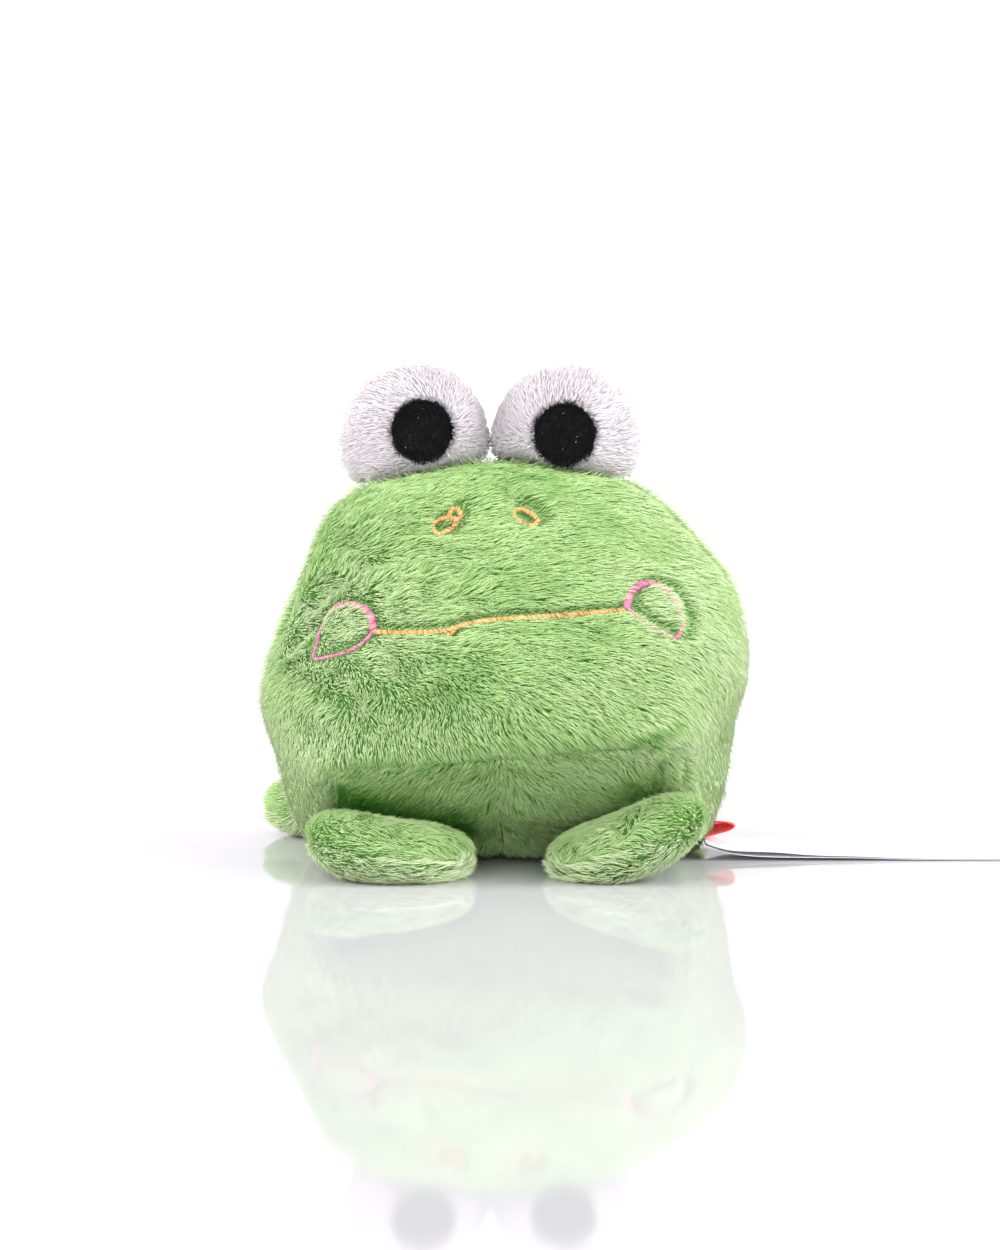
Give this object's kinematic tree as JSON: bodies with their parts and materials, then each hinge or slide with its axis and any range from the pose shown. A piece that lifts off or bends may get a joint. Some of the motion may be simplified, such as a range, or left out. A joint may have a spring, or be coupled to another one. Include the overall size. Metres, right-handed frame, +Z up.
{
  "type": "plush frog",
  "caption": "Small seated plush frog with boxy chin, upright round eye pads, embroidered face, flapping feet and loose care labels; a soft toy that rests on a flat base.",
  "frame": {"origin": "on the floor, on the flat face of the base panel, under the middle of the body", "axes": "+Z up, the face looks along -Y, the side with the tag and labels is +X"},
  "size_m": [0.1323, 0.0718, 0.0782],
  "materials": {
    "green_plush": "short soft pile, matt with a faint sheen",
    "white_plush": "short soft pile, matt",
    "stuffing": "loose fibre",
    "black_thread": "dense fill stitch, slight sheen",
    "gold_thread": "satin stitch, silky",
    "pink_thread": "satin stitch, silky",
    "red_ribbon": "woven ribbon, semi-matt",
    "white_satin": "printed-label satin, bare"
  },
  "bodies": {
    "frog_body": {"body_filling": "stuffing", "face_panel": "green_plush", "left_chin_panel": "green_plush", "right_chin_panel": "green_plush", "left_back_panel": "green_plush", "right_back_panel": "green_plush", "base_panel": "green_plush", "mouth_stitching": "gold_thread", "left_cheek_stitching": "pink_thread", "right_cheek_stitching": "pink_thread", "left_nostril_stitching": "gold_thread", "right_nostril_stitching": "gold_thread", "loop_tag": "red_ribbon"},
    "left_eye": {"left_eye_front_cover": "white_plush", "left_eye_back_cover": "green_plush", "left_eye_filling": "stuffing", "left_pupil_patch": "black_thread"},
    "right_eye": {"right_eye_front_cover": "white_plush", "right_eye_back_cover": "green_plush", "right_eye_filling": "stuffing", "right_pupil_patch": "black_thread"},
    "left_front_foot": {"left_front_foot_upper_cover": "green_plush", "left_front_foot_sole_cover": "green_plush", "left_front_foot_filling": "stuffing"},
    "right_front_foot": {"right_front_foot_upper_cover": "green_plush", "right_front_foot_sole_cover": "green_plush", "right_front_foot_filling": "stuffing"},
    "left_hind_foot": {"left_hind_foot_upper_cover": "green_plush", "left_hind_foot_sole_cover": "green_plush", "left_hind_foot_filling": "stuffing"},
    "right_hind_foot": {"right_hind_foot_upper_cover": "green_plush", "right_hind_foot_sole_cover": "green_plush", "right_hind_foot_filling": "stuffing"},
    "care_labels": {"care_label_upper": "white_satin", "care_label_lower": "white_satin"}
  },
  "joints": [
    {"name": "left_eye_tilt", "type": "hinge", "parent": "frog_body", "child": "left_eye", "pos_m": [-0.0138, 0.013, 0.0615], "axis": [1, 0, 0], "range_deg": [-8, 8], "stiffness_Nm_per_rad": 0.012},
    {"name": "right_eye_tilt", "type": "hinge", "parent": "frog_body", "child": "right_eye", "pos_m": [0.0106, 0.013, 0.0615], "axis": [1, 0, 0], "range_deg": [-8, 8], "stiffness_Nm_per_rad": 0.012},
    {"name": "left_front_foot_flap", "type": "hinge", "parent": "frog_body", "child": "left_front_foot", "pos_m": [-0.0172, -0.011, 0.0025], "axis": [-1, 0, 0], "range_deg": [-35, 4], "stiffness_Nm_per_rad": 0.012},
    {"name": "right_front_foot_flap", "type": "hinge", "parent": "frog_body", "child": "right_front_foot", "pos_m": [0.0199, -0.011, 0.0025], "axis": [-1, 0, 0], "range_deg": [-35, 4], "stiffness_Nm_per_rad": 0.012},
    {"name": "left_hind_foot_flap", "type": "hinge", "parent": "frog_body", "child": "left_hind_foot", "pos_m": [-0.01978, 0.02164, 0.004], "axis": [0.5385, 0.8426, 0], "range_deg": [-25, 8], "stiffness_Nm_per_rad": 0.012},
    {"name": "right_hind_foot_flap", "type": "hinge", "parent": "frog_body", "child": "right_hind_foot", "pos_m": [0.01721, 0.02129, 0.004], "axis": [0.5812, -0.8137, 0], "range_deg": [-25, 8], "stiffness_Nm_per_rad": 0.012},
    {"name": "care_labels_swing", "type": "hinge", "parent": "frog_body", "child": "care_labels", "pos_m": [0.03295, 0.0027, 0.0026], "axis": [0, -1, 0], "range_deg": [-60, 8]}
  ]
}
